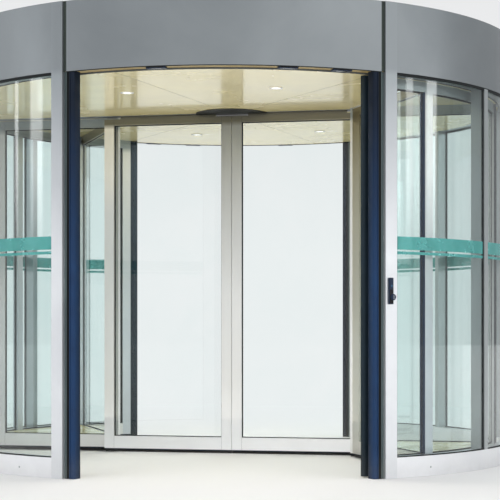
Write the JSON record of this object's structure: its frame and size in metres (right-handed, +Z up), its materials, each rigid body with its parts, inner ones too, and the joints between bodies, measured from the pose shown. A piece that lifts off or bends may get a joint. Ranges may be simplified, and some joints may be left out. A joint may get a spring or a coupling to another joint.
{
  "type": "automatic two-wing revolving door",
  "caption": "Round glazed drum with a deep canopy and two doorways; inside it turns a rotor with a pair of sliding leaves between two closed showcase wings.",
  "frame": {"origin": "centre of the drum on the floor", "axes": "+Z up; -Y out of the front doorway; +X to the right as seen from in front"},
  "size_m": [3.9, 3.88, 2.815],
  "materials": {
    "silver": "satin clear-anodised, with fine upright grain",
    "fascia": "smooth metallic silver-grey panel",
    "safety_rubber": "matt navy safety rubber",
    "black_rubber": "matt black gasket",
    "brush": "dense dark bristle",
    "glass": "clear laminated, faint blue-green",
    "film": "translucent green film",
    "ceiling": "glossy cream panels",
    "disc": "dark satin disc",
    "soffit": "satin tan",
    "roof": "plain grey deck",
    "steel": "plain steel sections",
    "black_plastic": "fine matt black",
    "lamp": "white trim ring with a bright lens"
  },
  "bodies": {
    "drum": {"post_front_left": "silver", "post_front_right": "silver", "post_back_left": "silver", "post_back_right": "silver", "drum_base_left": "silver", "drum_base_right": "silver", "drum_mullions": "silver", "fascia_front": "fascia", "fascia_back": "fascia", "fascia_left": "fascia", "fascia_right": "fascia", "safety_edges": "safety_rubber", "fascia_joints": "black_rubber", "head_rails": "silver", "drum_glass_left": "glass", "drum_glass_right": "glass", "glass_bands": "film", "canopy_ring": "soffit", "canopy_roof": "roof", "roof_beams": "steel", "drive_housing": "steel", "motion_sensors": "black_plastic", "switch_box": "black_plastic", "switch_knob": "black_plastic"},
    "rotor": {"wing_frames": "silver", "case_frames": "silver", "curved_rails": "silver", "case_stiles": "silver", "stile_edges": "safety_rubber", "tail_tips": "safety_rubber", "wing_seals": "black_rubber", "floor_brushes": "brush", "wing_glass": "glass", "case_glass": "glass", "curved_glass": "glass", "ceiling_strips": "ceiling", "ceiling_panels_front": "ceiling", "ceiling_panels_back": "ceiling", "case_floors": "ceiling", "centre_disc": "disc", "rotor_shaft": "steel", "door_track": "steel", "ceiling_carrier": "steel", "downlights": "lamp"},
    "leaf_left": {"leaf_left_frame": "silver", "leaf_left_glass": "glass", "leaf_left_brush": "brush"},
    "leaf_right": {"leaf_right_frame": "silver", "leaf_right_glass": "glass", "leaf_right_brush": "brush"}
  },
  "joints": [
    {"name": "rotor_spin", "type": "hinge", "parent": "drum", "child": "rotor", "pos_m": [0, 0, 0], "axis": [0, 0, 1], "continuous": true},
    {"name": "leaf_right_slide", "type": "slide", "parent": "rotor", "child": "leaf_right", "axis": [0.9799, -0.1994, 0], "range_m": [0, 0.8]},
    {"name": "leaf_left_slide", "type": "slide", "parent": "rotor", "child": "leaf_left", "axis": [-0.9799, 0.1994, 0], "range_m": [0, 0.8]}
  ],
  "couplings": [
    {"joint": "leaf_left_slide", "follows": "leaf_right_slide", "ratio": 1}
  ]
}
